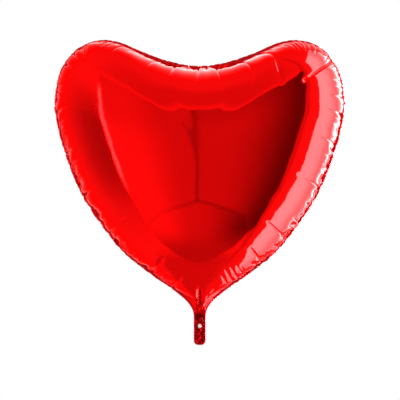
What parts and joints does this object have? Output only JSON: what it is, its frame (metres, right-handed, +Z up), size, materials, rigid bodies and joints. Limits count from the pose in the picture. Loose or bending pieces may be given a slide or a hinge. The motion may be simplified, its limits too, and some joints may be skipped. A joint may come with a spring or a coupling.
{
  "type": "heart-shaped foil balloon",
  "caption": "Inflated heart-shaped foil balloon: two domed foil panels sealed round the edge, with a flat floppy neck, a filling hole and a self-sealing film valve.",
  "frame": {"origin": "where the ribbon is tied, at the root of the neck, midway between the two panels", "axes": "+Z up from the tie point through the notch of the heart, the front faces -Y, +X to the right seen from the front"},
  "size_m": [0.7594, 0.382, 0.799],
  "materials": {
    "red_foil": "mirror-gloss metallised film, silver inside",
    "sealed_seam": "glossy heat-sealed film",
    "valve_film": "clear milky film",
    "release_ink": "matt heat-proof print"
  },
  "bodies": {
    "balloon": {"front_foil_panel": "red_foil", "rear_foil_panel": "red_foil", "perimeter_heat_seal": "sealed_seam"},
    "neck": {"neck_front_foil": "red_foil", "neck_rear_foil": "red_foil", "neck_edge_seal": "sealed_seam", "valve_inlet_front_film": "valve_film", "valve_inlet_rear_film": "valve_film", "valve_right_weld": "valve_film", "valve_left_weld": "valve_film", "valve_release_print": "release_ink", "cross_seal_front": "valve_film", "cross_seal_rear": "valve_film"},
    "front_lip": {"valve_front_lip": "valve_film"},
    "rear_lip": {"valve_rear_lip": "valve_film"}
  },
  "joints": [
    {"name": "neck_flex", "type": "hinge", "parent": "balloon", "child": "neck", "pos_m": [0, 0, 0], "axis": [1, 0, 0], "range_deg": [-55, 55], "stiffness_Nm_per_rad": 0.0006},
    {"name": "valve_front_open", "type": "hinge", "parent": "balloon", "child": "front_lip", "pos_m": [0, -0.0002, 0.002], "axis": [1, 0, 0], "range_deg": [0, 3], "stiffness_Nm_per_rad": 0.0008},
    {"name": "valve_rear_open", "type": "hinge", "parent": "balloon", "child": "rear_lip", "pos_m": [0, 0.0002, 0.002], "axis": [1, 0, 0], "range_deg": [-3, 0], "stiffness_Nm_per_rad": 0.0008}
  ],
  "couplings": [
    {"joint": "valve_rear_open", "follows": "valve_front_open", "ratio": -1}
  ]
}
